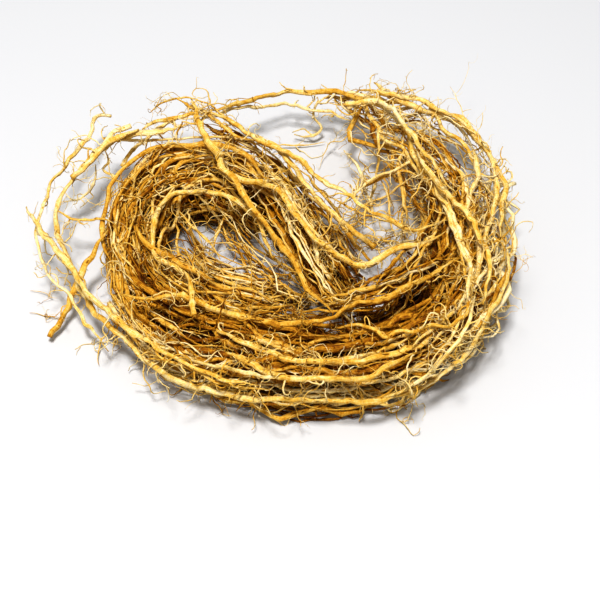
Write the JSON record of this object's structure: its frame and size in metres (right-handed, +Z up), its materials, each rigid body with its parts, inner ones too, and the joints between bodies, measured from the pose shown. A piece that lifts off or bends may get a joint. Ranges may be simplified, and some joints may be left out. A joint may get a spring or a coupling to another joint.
{
  "type": "vetiver root hank",
  "caption": "Hank of dried vetiver roots wound in a loose coil, with long single roots laid over the bunches; lies on a surface.",
  "frame": {"origin": "middle of the hank's bounding box, at the level of the surface that it lies on", "axes": "+X to the right along the hank's longest extent, +Y away from its broad front, +Z up along its shortest extent"},
  "size_m": [0.1979, 0.1727, 0.0458],
  "materials": {
    "dried_root": "matt dried root bark, ochre to orange-brown, with fine lengthwise wrinkles",
    "pale_root": "matt dried root bark, pale golden, with fine lengthwise wrinkles and darker cut ends"
  },
  "bodies": {
    "root": {"diagonal_bunch": "dried_root", "slope_bunch": "dried_root", "eye_bunch": "dried_root", "inner_bunch": "dried_root", "eye_floor_bunch": "dried_root", "front_bunch": "dried_root", "outer_bunch": "dried_root", "inner_right_bunch": "dried_root", "pocket_bunch": "dried_root", "crown_bunch": "dried_root", "cut_root": "pale_root", "short_cut_root": "pale_root", "far_left_root": "pale_root", "left_loop_root": "pale_root", "left_crossing_root": "pale_root", "thin_strand_root": "pale_root", "top_strand_root": "pale_root", "cut_end_root": "pale_root", "crescent_root": "pale_root", "diagonal_root": "pale_root", "upper_crossing_root": "pale_root", "stub_root": "pale_root", "pocket_root": "pale_root", "front_sweep_root": "pale_root", "right_root": "pale_root", "right_wall_root": "pale_root", "crown_root": "pale_root", "crown_cut_root": "pale_root"}
  },
  "joints": []
}
